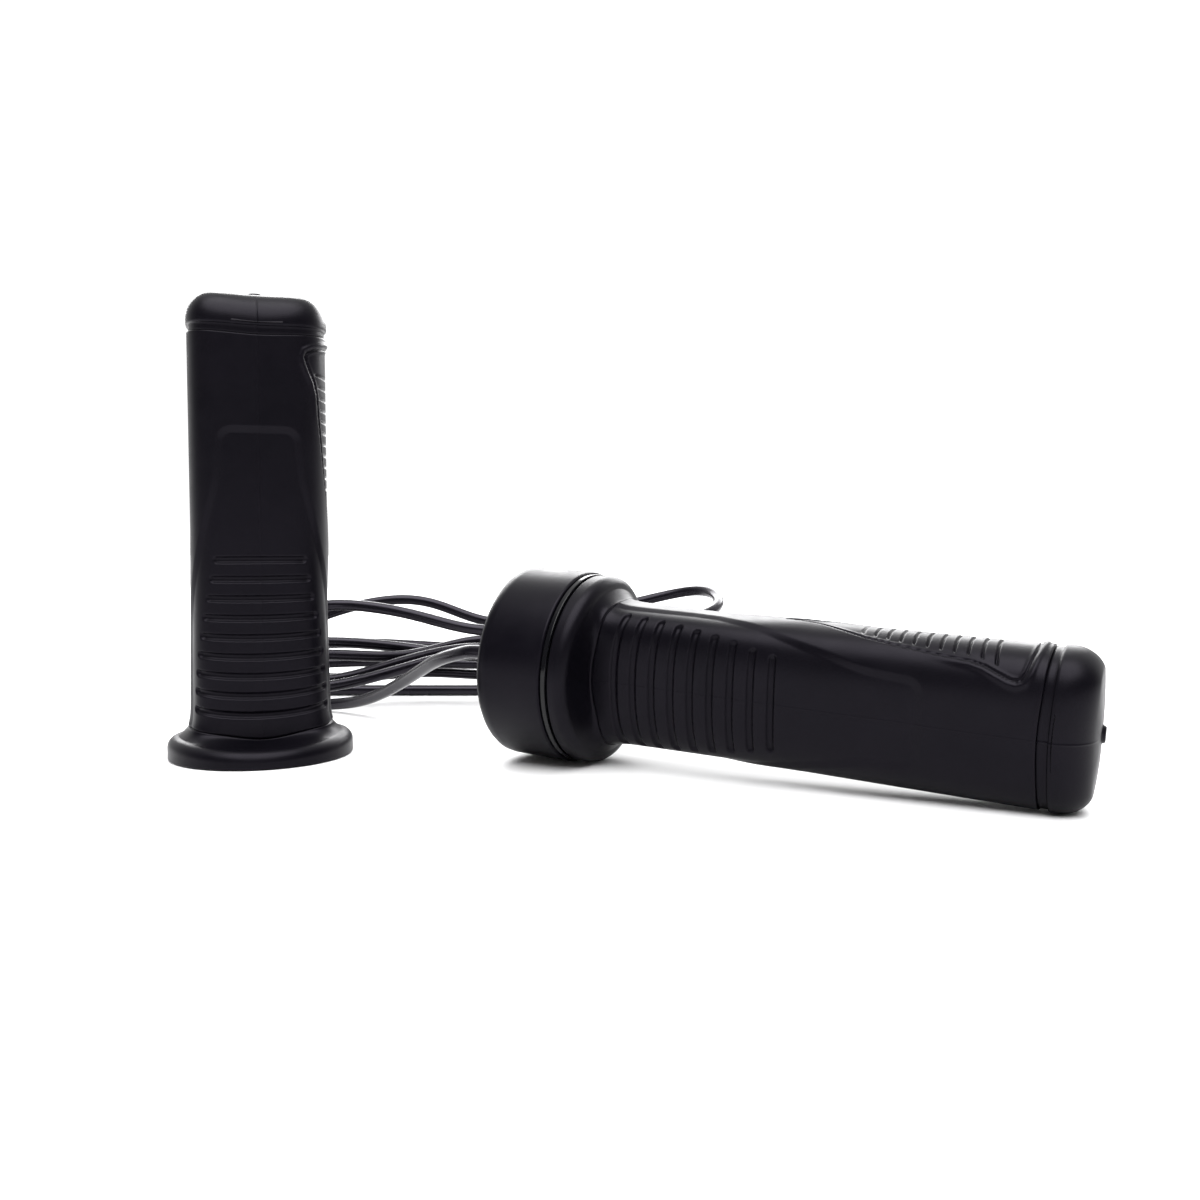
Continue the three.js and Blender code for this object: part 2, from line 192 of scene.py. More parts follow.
def cap_material():
    """The housing: the same black in a finer grain, with faint rub marks."""
    shader = Shader(
        "cap_plastic", (0.0030, 0.0024, 0.0045), 0.34,
        Specular_IOR_Level=0.10, Specular_Tint=BLACK_TINT,
    )
    shader.mottle(46, 4, CRISP_SPAN, (0.0016, 0.0014, 0.0027), (0.0026, 0.0022, 0.0038))
    shader.wear(120, 6, 0.32, 0.44, 0.65)
    shader.bump(shader.noise(3600, 2), 0.00002, 0.5)
    return shader.material


def neck_material():
    """Polished black plastic with a faint orange-peel swell."""
    shader = Shader("neck_gloss", (0.003, 0.003, 0.004), 0.14, Specular_IOR_Level=0.22)
    shader.wear(150, 4, 0.10, 0.19)
    shader.bump(shader.noise(420, 2), 0.00004, 0.2)
    return shader.material


def cord_material():
    """Extruded black PVC: glossy, with faint draw waves and handling smears."""
    shader = Shader(
        "cord_pvc", (0.0040, 0.0035, 0.0052), 0.24, Specular_IOR_Level=0.25, Specular_Tint=BLACK_TINT,
    )
    shader.mottle(60, 3, CRISP_SPAN, (0.0034, 0.0030, 0.0046), (0.0054, 0.0048, 0.0068))
    shader.wear(90, 4, 0.20, 0.29, 0.5)
    shader.bump(shader.noise(260, 1), 0.00003, 0.12)
    return shader.material


def rubber_material():
    """The grommet's soft rubber."""
    shader = Shader("grommet_rubber", (0.016, 0.016, 0.017), 0.7, Sheen_Weight=0.15)
    shader.mottle(300, 4, WIDE_SPAN, (0.012, 0.012, 0.013), (0.024, 0.024, 0.025))
    shader.bump(shader.noise(2200, 2), 0.00003, 0.5)
    return shader.material


def core_material():
    """The grey stiffening plastic inside the grips, with flow marks."""
    shader = Shader("core_plastic", (0.045, 0.046, 0.052), 0.5)
    shader.mottle(70, 5, WIDE_SPAN, (0.036, 0.037, 0.043), (0.060, 0.061, 0.067))
    shader.wear(160, 4, 0.42, 0.58)
    shader.bump(shader.noise(1400, 2), 0.00003, 0.4)
    return shader.material


def nylon_material():
    """The bush's waxy natural nylon."""
    shader = Shader(
        "bush_nylon", (0.66, 0.62, 0.53), 0.45, Subsurface_Weight=0.2, Subsurface_Scale=0.002
    )
    shader.mottle(240, 4, WIDE_SPAN, (0.60, 0.56, 0.47), (0.70, 0.67, 0.58))
    shader.bump(shader.noise(1800, 2), 0.00002, 0.4)
    return shader.material


def steel_material():
    """Turned and zinc-plated steel with an oily bloom."""
    shader = Shader("swivel_steel", (0.52, 0.53, 0.55), 0.3, Metallic=1.0)
    shader.mottle(320, 5, WIDE_SPAN, (0.46, 0.47, 0.49), (0.60, 0.61, 0.62))
    shader.wear(900, 6, 0.24, 0.42, 0.7)
    shader.bump(shader.noise(3000, 3), 0.00001, 0.4)
    return shader.material


# ---- cord route (metres) -------------------------------------------------------------------------
CORD_DIAMETER = 0.0046
CORD_RADIUS = CORD_DIAMETER / 2
CORD_STEP = 0.002
CORD_HELD = 34
SOCKET_MOUTH = 0.013
SOCKET_END = 0.0185
LEAD_STRAIGHT = 0.046
BEND_RADIUS = 0.0096
NOTCH_HEADING = math.radians(125)

LYING_LEAD_FALL = [
    (-0.0505, 0.0504, 0.0296), (-0.0597, 0.0674, 0.0234), (-0.0693, 0.0819, 0.0170),
    (-0.0795, 0.0954, 0.0108), (-0.0879, 0.1050, 0.0068), (-0.0929, 0.1104, 0.0052),
]
JOIN_LOW = [(-0.0990, 0.1155, 0.0036), (-0.1065, 0.1198, 0.0026), (-0.1165, 0.1234, 0.0024)]
JOIN_HIGH = [
    (-0.1130, 0.1246, 0.0432), (-0.1220, 0.1276, 0.0388),
    (-0.1300, 0.1302, 0.0314), (-0.1360, 0.1286, 0.0250),
]
UPRIGHT_LEAD_FLOOR = [
    (-0.1259, 0.0593, 0.0031), (-0.1349, 0.0734, 0.0034), (-0.1419, 0.0884, 0.0060),
    (-0.1449, 0.1034, 0.0105), (-0.1429, 0.1164, 0.0160), (-0.1400, 0.1223, 0.0189),
]

# Each turn of the pile, lowest first: where its left end, back side, right end and front side
# run, and its height at the left end, along the back, at the right end and back along the front.
SIDE_STATIONS = (-0.106, -0.076, -0.046, -0.010, 0.026)
TURNS = [
    (-0.145, 0.1655, 0.088, 0.1240,
     0.0024, (0.0024, 0.0024, 0.0024, 0.0025, 0.0025), 0.0030, (0.0060, 0.0130, 0.0240, 0.0170, 0.0094)),
    (-0.147, 0.1716, 0.094, 0.1296,
     0.0074, (0.0072, 0.0100, 0.0082, 0.0090, 0.0080), 0.0076, (0.0120, 0.0185, 0.0255, 0.0198, 0.0112)),
    (-0.143, 0.1690, 0.086, 0.1350,
     0.0128, (0.0148, 0.0146, 0.0135, 0.0150, 0.0138), 0.0130, (0.0180, 0.0235, 0.0284, 0.0206, 0.0216)),
    (-0.146, 0.1714, 0.091, 0.1404,
     0.0205, (0.0232, 0.0218, 0.0202, 0.0210, 0.0200), 0.0190, (0.0210, 0.0220, 0.0196, 0.0236, 0.0264)),
    (-0.144, 0.1700, 0.056, 0.1240,
     0.0225, (0.0400, 0.0430, 0.0318, 0.0350, 0.0428), 0.0480, (0.0355, 0.0345, 0.0322, 0.0402, 0.0438)),
]


def pile_points():
    """The turns of the pile, one after another, clockwise from above and rising."""
    points = []
    last_front, last_height = TURNS[0][3], TURNS[0][4]
    for left, back, right, front, left_height, back_heights, right_height, front_heights in TURNS:
        radius = (back - last_front) / 2
        for degrees, share in ((250, 0.25), (215, 0.65), (180, 1.0), (145, 1.1), (110, 1.4)):
            angle = math.radians(degrees)
            if share <= 1:
                height = last_height + (left_height - last_height) * share
            else:
                height = left_height + (back_heights[0] - left_height) * (share - 1)
            points.append((
                left + radius + radius * math.cos(angle),
                (back + last_front) / 2 + radius * math.sin(angle),
                height,
            ))
        points += [(x, back, height) for x, height in zip(SIDE_STATIONS, back_heights)]
        radius = (back - front) / 2
        for degrees, share in ((70, 0.7), (35, 1.0), (0, 1.35), (-35, 1.65), (-70, 1.9)):
            angle = math.radians(degrees)
            if share <= 1:
                height = back_heights[-1] + (right_height - back_heights[-1]) * share
            else:
                height = right_height + (front_heights[0] - right_height) * (share - 1)
            points.append((
                right - radius + radius * math.cos(angle),
                (back + front) / 2 + radius * math.sin(angle),
                height,
            ))
        points += [(x, front, height) for x, height in zip(reversed(SIDE_STATIONS), front_heights)]
        last_front, last_height = front, front_heights[-1]
    return points


def cord_points():
    """The whole route, from the lying handle's socket to the standing handle's."""
    points = [
        lying_origin + lying_axis * w
        for w in np.linspace(SOCKET_END, -LEAD_STRAIGHT, 5)
    ]
    points += [np.array(p) for p in LYING_LEAD_FALL + JOIN_LOW + pile_points() + JOIN_HIGH]
    points += [np.array(p) for p in reversed(UPRIGHT_LEAD_FLOOR)]
    out = np.array((math.cos(NOTCH_HEADING), math.sin(NOTCH_HEADING), 0))
    for degrees in range(90, 0, -10):
        angle = math.radians(degrees)
        rise = np.array((0, 0, SOCKET_MOUTH - BEND_RADIUS * math.sin(angle)))
        points.append(upright_origin + out * BEND_RADIUS * (1 - math.cos(angle)) + rise)
    points.append(upright_origin + np.array((0, 0, SOCKET_MOUTH)))
    points.append(upright_origin + np.array((0, 0, SOCKET_END)))
    return np.array(points)


def evenly(line, step):
    """The same line with its points a step apart."""
    along = np.concatenate(([0], np.cumsum(np.linalg.norm(np.diff(line, axis=0), axis=1))))
    stops = np.linspace(0, along[-1], round(along[-1] / step) + 1)
    return np.stack([np.interp(stops, along, line[:, k]) for k in range(3)], axis=1)


def smooth_curve(points):
    """A centripetal Catmull-Rom curve through the points."""
    padded = np.vstack([2 * points[0] - points[1], points, 2 * points[-1] - points[-2]])
    line = []
    for p0, p1, p2, p3 in zip(padded, padded[1:], padded[2:], padded[3:]):
        chords = (p1 - p0, p2 - p1, p3 - p2)
        t0, t1, t2, t3 = np.cumsum([0] + [np.linalg.norm(chord) ** 0.5 for chord in chords])
        for t in np.linspace(t1, t2, 12, endpoint=False):
            a1 = ((t1 - t) * p0 + (t - t0) * p1) / (t1 - t0)
            a2 = ((t2 - t) * p1 + (t - t1) * p2) / (t2 - t1)
            a3 = ((t3 - t) * p2 + (t - t2) * p3) / (t3 - t2)
            b1 = ((t2 - t) * a1 + (t - t0) * a2) / (t2 - t0)
            b2 = ((t3 - t) * a2 + (t - t1) * a3) / (t3 - t1)
            line.append(((t2 - t) * b1 + (t - t1) * b2) / (t2 - t1))
    return np.array(line + [points[-1]])


SETTLE_ROUNDS = 60
EASING = 0.35
STRAND_GAP = 0.00005
FLOOR_GAP = 0.00002
NEAR_POINTS = 12
ALMOST_ZERO = 1e-9


def settle(line, held):
    """Eases the line, and pushes strands apart until none is inside another. Its ends stay held."""
    count = len(line)
    free = np.zeros((count, 1), bool)
    free[held:count - held] = True
    reach = CORD_DIAMETER + STRAND_GAP
    apart = np.abs(np.subtract.outer(np.arange(count), np.arange(count))) > NEAR_POINTS
    for _ in range(SETTLE_ROUNDS):
        eased = line.copy()
        eased[1:-1] += EASING * ((line[:-2] + line[2:]) / 2 - line[1:-1])
        line = np.where(free, eased, line)
        offset = line[:, None, :] - line[None, :, :]
        distance = np.sqrt((offset ** 2).sum(-1)) + ALMOST_ZERO
        push = np.where((distance < reach) & apart, (reach - distance) / distance / 2, 0)
        line = line + np.where(free, (push[:, :, None] * offset).sum(1), 0)
        line[:, 2] = np.maximum(line[:, 2], CORD_RADIUS + FLOOR_GAP)
    return line


def make_cord():
    """One 2.8 m cord, from spindle to spindle, as a single curve."""
    line = settle(evenly(smooth_curve(cord_points()), CORD_STEP), CORD_HELD)
    data = bpy.data.curves.new("cord", "CURVE")
    data.dimensions = "3D"
    data.bevel_depth = CORD_RADIUS
    data.bevel_resolution = 5
    data.use_fill_caps = True
    spline = data.splines.new("POLY")
    spline.points.add(len(line) - 1)
    spline.points.foreach_set("co", np.c_[line, np.ones(len(line))].ravel())
    spline.use_smooth = True
    cord = bpy.data.objects.new("cord", data)
    bpy.context.scene.collection.objects.link(cord)
    data.materials.append(cord_material())
    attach(cord, ROOT)
    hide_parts("rope_pile", "upright_lead", "lying_lead")


make_cord()


# ---- meshes --------------------------------------------------------------------------------------
def smooth(value):
    """0 below 0, 1 above 1, and an even ease between."""
    value = np.clip(value, 0, 1)
    return value * value * (3 - 2 * value)


def add_piece(name, rows, matrix, body, node, material, ends="ring"):
    """A closed mesh piece from rows of points that each go once round the handle's axis.

    The rows either join up in a ring or are closed by a point on the axis at each end.
    """
    rows = np.array(rows)
    count, columns = rows.shape[:2]
    points = rows.reshape(-1, 3)
    nearer = np.arange(count if ends == "ring" else count - 1)[:, None] * columns
    column = np.arange(columns)[None, :]
    following = (nearer + columns) % (count * columns)
    after = (column + 1) % columns
    quads = np.stack(
        (nearer + column, nearer + after, following + after, following + column), axis=-1
    ).reshape(-1, 4)
    faces = quads.tolist()
    if ends == "axis":
        for row, turn in ((0, -1), (count - 1, 1)):
            middle = len(points)
            centre = rows[row].mean(axis=0)
            points = np.vstack((points, (0, 0, centre[2])))
            rim = [row * columns + i for i in range(columns)]
            faces += [[rim[i], rim[(i + 1) % columns], middle][::turn] for i in range(columns)]
    mesh = bpy.data.meshes.new(name)
    mesh.from_pydata(points.tolist(), [], faces)
    mesh.transform(matrix)
    mesh.polygons.foreach_set("use_smooth", np.ones(len(faces), bool))
    mesh.materials.append(material)
    piece = bpy.data.objects.new(name, mesh)
    bpy.context.scene.collection.objects.link(piece)
    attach(piece, body)
    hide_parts(node)
    return piece


ROUNDING_STEPS = 5
ROUNDING_HOLD = 0.15
TURNED_SIDES = 160


def rounded(corners):
    """A closed outline of (radius, height, rounding) corners, each eased by its rounding."""
    outline = []
    places = [np.array(corner[:2], float) for corner in corners]
    for i, (place, corner) in enumerate(zip(places, corners)):
        before = places[i - 1] - place
        after = places[(i + 1) % len(places)] - place
        reach = min(corner[2], 0.4 * np.linalg.norm(before), 0.4 * np.linalg.norm(after))
        start = before / np.linalg.norm(before)
        end = after / np.linalg.norm(after)
        outline.append(place + start * reach * (1 + ROUNDING_HOLD))
        for t in np.linspace(0, 1, ROUNDING_STEPS):
            outline.append(place + start * reach * (1 - t) ** 2 + end * reach * t ** 2)
        outline.append(place + end * reach * (1 + ROUNDING_HOLD))
    return outline


def add_turned(name, corners, matrix, body, node, material):
    """A round piece turned about the handle's axis, from its rounded section."""
    angles = np.linspace(0, 2 * math.pi, TURNED_SIDES, endpoint=False)
    rows = [
        np.stack((r * np.cos(angles), r * np.sin(angles), np.full(TURNED_SIDES, w)), axis=1)
        for r, w in rounded(corners)
    ]
    return add_piece(name, rows, matrix, body, node, material)


# ---- grip section --------------------------------------------------------------------------------
HALF_WIDTH = 20.8
HALF_THICKNESS = 15
SQUARENESS = 3.2
BORE = 12.3
FLANGE = 29
RIM_TOP = (5.7, 1.7)
EDGE = 0.8
TOP_EDGE = 3.5
COLUMN_STEP = 0.4
SEAM_COLUMNS = (0, 0.12, 0.24, 0.38, 0.6, 0.9)
SECTION_SAMPLES = 4000


def quarter_section():
    """Points on a quarter of the oval, evenly spaced but close together at the mould seam."""
    angle = np.linspace(0, math.pi / 2, SECTION_SAMPLES)
    across = np.abs(np.cos(angle)) / HALF_THICKNESS
    along = np.abs(np.sin(angle)) / HALF_WIDTH
    radius = (across ** SQUARENESS + along ** SQUARENESS) ** (-1 / SQUARENESS)
    x, y = radius * np.cos(angle), radius * np.sin(angle)
    arc = np.concatenate(([0], np.cumsum(np.hypot(np.diff(x), np.diff(y)))))
    start = SEAM_COLUMNS[-1]
    rest = np.linspace(start, arc[-1], round((arc[-1] - start) / COLUMN_STEP) + 1)
    stops = np.concatenate((SEAM_COLUMNS[:-1], rest))
    return np.interp(stops, arc, x), np.interp(stops, arc, y), stops, arc[-1]


def slope(place, half):
    """The oval's outward direction along one axis, before it is brought to length 1."""
    return np.sign(place) * (np.abs(place) / half) ** (SQUARENESS - 1) / half


class Section:
    """The grip's oval, column by column: place, outward direction, and arcs along the surface.

    face_arc runs from the middle of the nearer flat face, crest_arc from the nearer edge's crest.
    """

    def __init__(self):
        x, y, arc, quarter = quarter_section()
        back, half_x, half_y = arc[-2::-1], -x[-2::-1], y[-2::-1]
        upper_x, upper_y = np.concatenate((x, half_x)), np.concatenate((y, half_y))
        upper_arc = np.concatenate((arc, back))
        self.x = np.concatenate((upper_x, upper_x[-2:0:-1]))
        self.y = np.concatenate((upper_y, -upper_y[-2:0:-1]))
        self.face_arc = np.concatenate((upper_arc, upper_arc[-2:0:-1]))
        self.crest_arc = quarter - self.face_arc
        self.angle = np.arctan2(self.y, self.x)
        normal_x, normal_y = slope(self.x, HALF_THICKNESS), slope(self.y, HALF_WIDTH)
        length = np.hypot(normal_x, normal_y)
        self.normal_x, self.normal_y = normal_x / length, normal_y / length
        self.radius = np.hypot(self.x, self.y)
        self.toward_edge = np.sin(self.angle) ** 2

    def oval(self, inset, height):
        """The oval moved in by inset, at a height."""
        inset = np.broadcast_to(inset, self.x.shape)
        height = np.broadcast_to(height, self.x.shape)
        return np.stack(
            (self.x - self.normal_x * inset, self.y - self.normal_y * inset, height), axis=1
        )

    def round(self, radius, height):
        """A circle, or a shape given by its radius at each column's angle."""
        radius = np.broadcast_to(radius, self.x.shape)
        height = np.broadcast_to(height, self.x.shape)
        return np.stack((radius * np.cos(self.angle), radius * np.sin(self.angle), height), axis=1)


section = Section()

# Where the flare ends on the grip, where the grip ends at the band, and where the plug starts:
# each is lowest at the middle of the flat faces and highest at the edges.
FLARE_LINE = (6.9, 3.9)
GRIP_TOP = (133.0, 1.4)
PLUG_BOTTOM = (135.7, 1.0)


def bowed(line):
    """The height of one of those lines at each column."""
    return line[0] + line[1] * section.toward_edge


# Finger slots on both flat faces.
SLOT_COUNT = 9
FIRST_SLOT = 14.7
SLOT_PITCH = 6.1
SLOT_HALF_WIDTH = 1.2
SLOT_DEPTH = 0.95
SLOT_REACH = (22.4, 14.3)
SLOT_LIFT = (2.4, 0)
SLOT_TAPER = 1.4
SLOT_FLOOR = (2.4, 0.7)


def slot_cut(arc, height):
    """How deep the slots cut. Their ends lie farther from the flange than their middles."""
    depth = np.zeros_like(height)
    for i in range(SLOT_COUNT):
        t = i / (SLOT_COUNT - 1)
        reach = SLOT_REACH[0] + (SLOT_REACH[1] - SLOT_REACH[0]) * t ** SLOT_TAPER
        lift = SLOT_LIFT[0] + (SLOT_LIFT[1] - SLOT_LIFT[0]) * t
        middle = FIRST_SLOT + SLOT_PITCH * i + lift * (arc / SLOT_REACH[0]) ** 2
        beyond = np.maximum(arc - (reach - SLOT_HALF_WIDTH), 0)
        away = np.hypot(beyond, height - middle) / SLOT_HALF_WIDTH
        depth = np.maximum(depth, SLOT_DEPTH * np.clip(1 - away ** SLOT_FLOOR[0], 0, 1) ** SLOT_FLOOR[1])
    return depth


# The shallow sunk panel of each flat face: its half width, along the surface, against height.
# These widths, and the thumb panel's outline below, were cast from the photo by another program.
PANEL_HEIGHTS = (15, 36, 44, 51.5, 58, 64.8, 71.7, 79, 84, 88, 92, 100)
PANEL_HALF_WIDTHS = (24.6, 25.6, 25.2, 23.2, 21.1, 18.8, 16.7, 14.6, 13.1, 12.1, 11.5, 10.8)
PANEL_TOP = 102.8
PANEL_DEPTH = 0.6
PANEL_BEVEL = 2.2
PANEL_CORNER = 3


def panel_cut(arc, height):
    """How deep the sunk panel lies, with a crisp bevel down to it and round corners at its top."""
    sideways = (arc - np.interp(height, PANEL_HEIGHTS, PANEL_HALF_WIDTHS)) / PANEL_BEVEL
    upward = (height - PANEL_TOP) / PANEL_BEVEL
    corner = PANEL_CORNER / PANEL_BEVEL
    beyond = np.hypot(np.maximum(sideways + corner, 0), np.maximum(upward + corner, 0)) - corner
    return PANEL_DEPTH * np.clip(1 - beyond, 0, 1)


# The thumb panel on the +Y edge: its groove as arc from the crest against height.
THUMB_OUTLINE = (
    (0, 63), (1.8, 73.2), (4.4, 79.6), (7.3, 87.3), (8.8, 94.4), (9.8, 101.2), (10.8, 107.8),
    (11.6, 115.5), (12.7, 119.3), (14.3, 122.5), (15.6, 125.4), (15.9, 127), (15.4, 128.2),
    (13.4, 129.2), (10.7, 129.8), (6.1, 130.6), (0, 131),
)
THUMB_GROOVE_HALF_WIDTH = 0.45
THUMB_GROOVE_DEPTH = 0.55
THUMB_STEP = 0.3
THUMB_STEP_WIDTH = 1.5
GROOVE_SHARPNESS = 1.5
LIP_HEIGHT = 0.5
LIP_AWAY = 1.4
LIP_WIDTH = 0.75
LIP_START = 104
LIP_RUN = 14
RIB_COUNT = 11
FIRST_RIB = 86
RIB_PITCH = 3.53
RIB_HALF_WIDTH = 0.5
RIB_DEPTH = 0.8
RIB_BOW = 0.8
RIB_BOW_REACH = 14
RIB_END_GAP = 1.6
RIB_END_RUN = 1.2
FAR_AWAY = 99.0


def groove(away, half_width):
    """1 along a groove and 0 beyond its half width, with steep sides."""
    return smooth(GROOVE_SHARPNESS - GROOVE_SHARPNESS * away / half_width)


def thumb_relief(arc, height):
    """The sunk thumb panel with its outline groove, its lip at the butt and its cross grooves."""
    away = np.full(height.shape, FAR_AWAY)
    for (arc_a, height_a), (arc_b, height_b) in zip(THUMB_OUTLINE, THUMB_OUTLINE[1:]):
        run, rise = arc_b - arc_a, height_b - height_a
        t = ((arc - arc_a) * run + (height - height_a) * rise) / (run * run + rise * rise)
        t = np.clip(t, 0, 1)
        away = np.minimum(away, np.hypot(arc - arc_a - t * run, height - height_a - t * rise))
    widest = max(range(len(THUMB_OUTLINE)), key=lambda i: THUMB_OUTLINE[i][0])
    near, far = THUMB_OUTLINE[:widest + 1], THUMB_OUTLINE[widest:]
    half = np.where(
        height < near[-1][1],
        np.interp(height, [p[1] for p in near], [p[0] for p in near], left=-1),
        np.interp(height, [p[1] for p in far], [p[0] for p in far], right=-1),
    )
    inside = arc < half
    relief = np.where(inside, -THUMB_STEP * smooth(away / THUMB_STEP_WIDTH), 0)
    relief -= THUMB_GROOVE_DEPTH * groove(away, THUMB_GROOVE_HALF_WIDTH)
    lip = np.exp(-((away - LIP_AWAY) / LIP_WIDTH) ** 2) * smooth((height - LIP_START) / LIP_RUN)
    relief += np.where(inside, 0, LIP_HEIGHT * lip)
    for i in range(RIB_COUNT):
        middle = FIRST_RIB + RIB_PITCH * i + RIB_BOW * (arc / RIB_BOW_REACH) ** 2
        end = smooth((half - RIB_END_GAP - arc) / RIB_END_RUN)
        relief -= RIB_DEPTH * end * groove(np.abs(height - middle), RIB_HALF_WIDTH)
    return relief


CROWN_HEIGHT = 1.1
CROWN_REACH = 6.5
CROWN_START = 46
CROWN_RUN = 24


def crown(height):
    """The thumb edge's crest stands up a little over the butt half of the handle."""
    rise = CROWN_HEIGHT * np.exp(-(section.crest_arc / CROWN_REACH) ** 2)
    return np.where(section.y > 0, rise, 0) * smooth((height - CROWN_START) / CROWN_RUN)


SWELL_HEIGHT = 1.2
SWELL_END = 72
FILLET_HEIGHT = 0.9
FILLET_RUN = 2.2
SWELL_SIDE = 9
SWELL_SIDE_RUN = 13


def foot(height):
    """How much both edges swell toward the flange, and more just above it."""
    low = bowed(FLARE_LINE)
    swell = SWELL_HEIGHT * np.clip(1 - height / SWELL_END, 0, 1)
    fillet = FILLET_HEIGHT * np.exp(-np.maximum(height - low, 0) / FILLET_RUN)
    return (swell + fillet) * smooth((section.face_arc - SWELL_SIDE) / SWELL_SIDE_RUN)


SEAM_HEIGHT = 0.06
PLUG_SEAM = 0.17
SEAM_HALF_WIDTH = 0.26


def seam_ridge(height=SEAM_HEIGHT):
    """The mould's parting line, down the middle of both flat faces."""
    return height * np.exp(-(section.y / SEAM_HALF_WIDTH) ** 2)


BODY_LENGTH = 125.2
BODY_ZONES = ((0, 1.2, 0.12), (1.2, 58, 0.24), (58, 78, 0.36), (78, BODY_LENGTH, 0.24))


def body_stops():
    """Shares of the grip's length, closest together where there is something to show."""
    return np.concatenate([np.arange(*zone) for zone in BODY_ZONES]) / BODY_LENGTH


# The sleeve's rows: its mouth in the flange face and its inside, as steps out from the bore
# against height, and its rim at the band, as steps in from the oval against depth below the top.
MOUTH_ROWS = ((0, 0.5), (0.15, 0.12), (0.5, 0), (0.8, 0))
INSIDE_ROWS = ((0.1, 134.3), (0, 134), (0, 90), (0, 45))
RIM_ROWS = ((0, 0.5), (0.08, 0.2), (0.25, 0.05), (0.5, 0), (1.2, 0))
SEAM_FADES_AT = 0.2
FACE_MIDDLE = 20
EDGE_MARGIN = 0.2
FLARE_ROWS = 30
FLARE_CROWDING = 1.3
FLARE_CURVE = 1.6
FLARE_INSET = 0.3
CREASE_DEPTH = 0.45
CREASE_HALF_WIDTH = 0.4
TOP_MARGIN = 0.6


def add_grip(prefix, matrix):
    """The sleeve with its round flange, slots, panels, grooves and mould seam."""
    low, high = bowed(FLARE_LINE), bowed(GRIP_TOP)
    rows = [section.round(BORE + beyond, height) for beyond, height in MOUTH_ROWS]
    rows += [section.round(FACE_MIDDLE, 0), section.round(FLANGE - EDGE - EDGE_MARGIN, 0)]
    for degrees in range(0, 91, 15):
        angle = math.radians(degrees)
        rows.append(section.round(
            FLANGE - EDGE + EDGE * math.sin(angle), EDGE - EDGE * math.cos(angle)
        ))
    rows.append(section.round(FLANGE, EDGE + EDGE_MARGIN))
    rim = bowed(RIM_TOP)
    rows.append(section.round(FLANGE, rim - TOP_EDGE - EDGE_MARGIN))
    for degrees in range(0, 91, 10):
        angle = math.radians(degrees)
        rows.append(section.round(
            FLANGE - TOP_EDGE + TOP_EDGE * math.cos(angle),
            rim - TOP_EDGE + TOP_EDGE * math.sin(angle),
        ))
    flare_end = section.radius + foot(low) - FLARE_INSET
    for t in 1 - np.linspace(1, 0, FLARE_ROWS)[1:] ** FLARE_CROWDING:
        radius = flare_end + (FLANGE - TOP_EDGE - flare_end) * (1 - t) ** FLARE_CURVE
        rows.append(section.round(radius, rim + (low - rim) * t))
    for share in body_stops():
        height = low + (high - TOP_MARGIN - low) * share
        rise = seam_ridge() + crown(height) + foot(height)
        rise -= panel_cut(section.face_arc, height) + slot_cut(section.face_arc, height)
        rise += np.where(section.y > 0, thumb_relief(section.crest_arc, height), 0)
        rise -= CREASE_DEPTH * np.exp(-((height - low) / CREASE_HALF_WIDTH) ** 2)
        rows.append(section.oval(-rise, height))
    for inset, below in RIM_ROWS:
        seam = seam_ridge() * (inset < SEAM_FADES_AT)
        rows.append(section.oval(inset - seam - crown(high), high - below))
    rows += [section.round(BORE + beyond, height) for beyond, height in INSIDE_ROWS]
    return add_piece(
        f"{prefix}_grip_fine", rows, matrix, ROOT, f"{prefix}_grip", grip_plastic
    )


PLUG_PROUD = 0.2
BAND_DEPTH = 0.6
PLUG_SHOULDER = (136.4, 2.4)
PLUG_TOP = 146.5
PLUG_ROUNDING = (10, -3.6)
PLUG_DOME = 0.9
PLUG_GAP = 0.04
PLUG_SEAT = (134.4, 134.6)
PLUG_UNDERSIDE = 1.7
PLUG_LIP = ((0.45, 0), (0.1, 0.05), (-0.12, 0.3), (-PLUG_PROUD, 0.7), (-PLUG_PROUD, 1.0))
DOME_ROWS = 24
DOME_DEGREES = 75
DOME_FULLNESS = 0.9
SPIGOT = (9.9, 120.3)
SPIGOT_EDGE = 0.6
GATE_RADIUS = 2.2
GATE_HEIGHT = 0.8
GATE_EDGE = 0.3


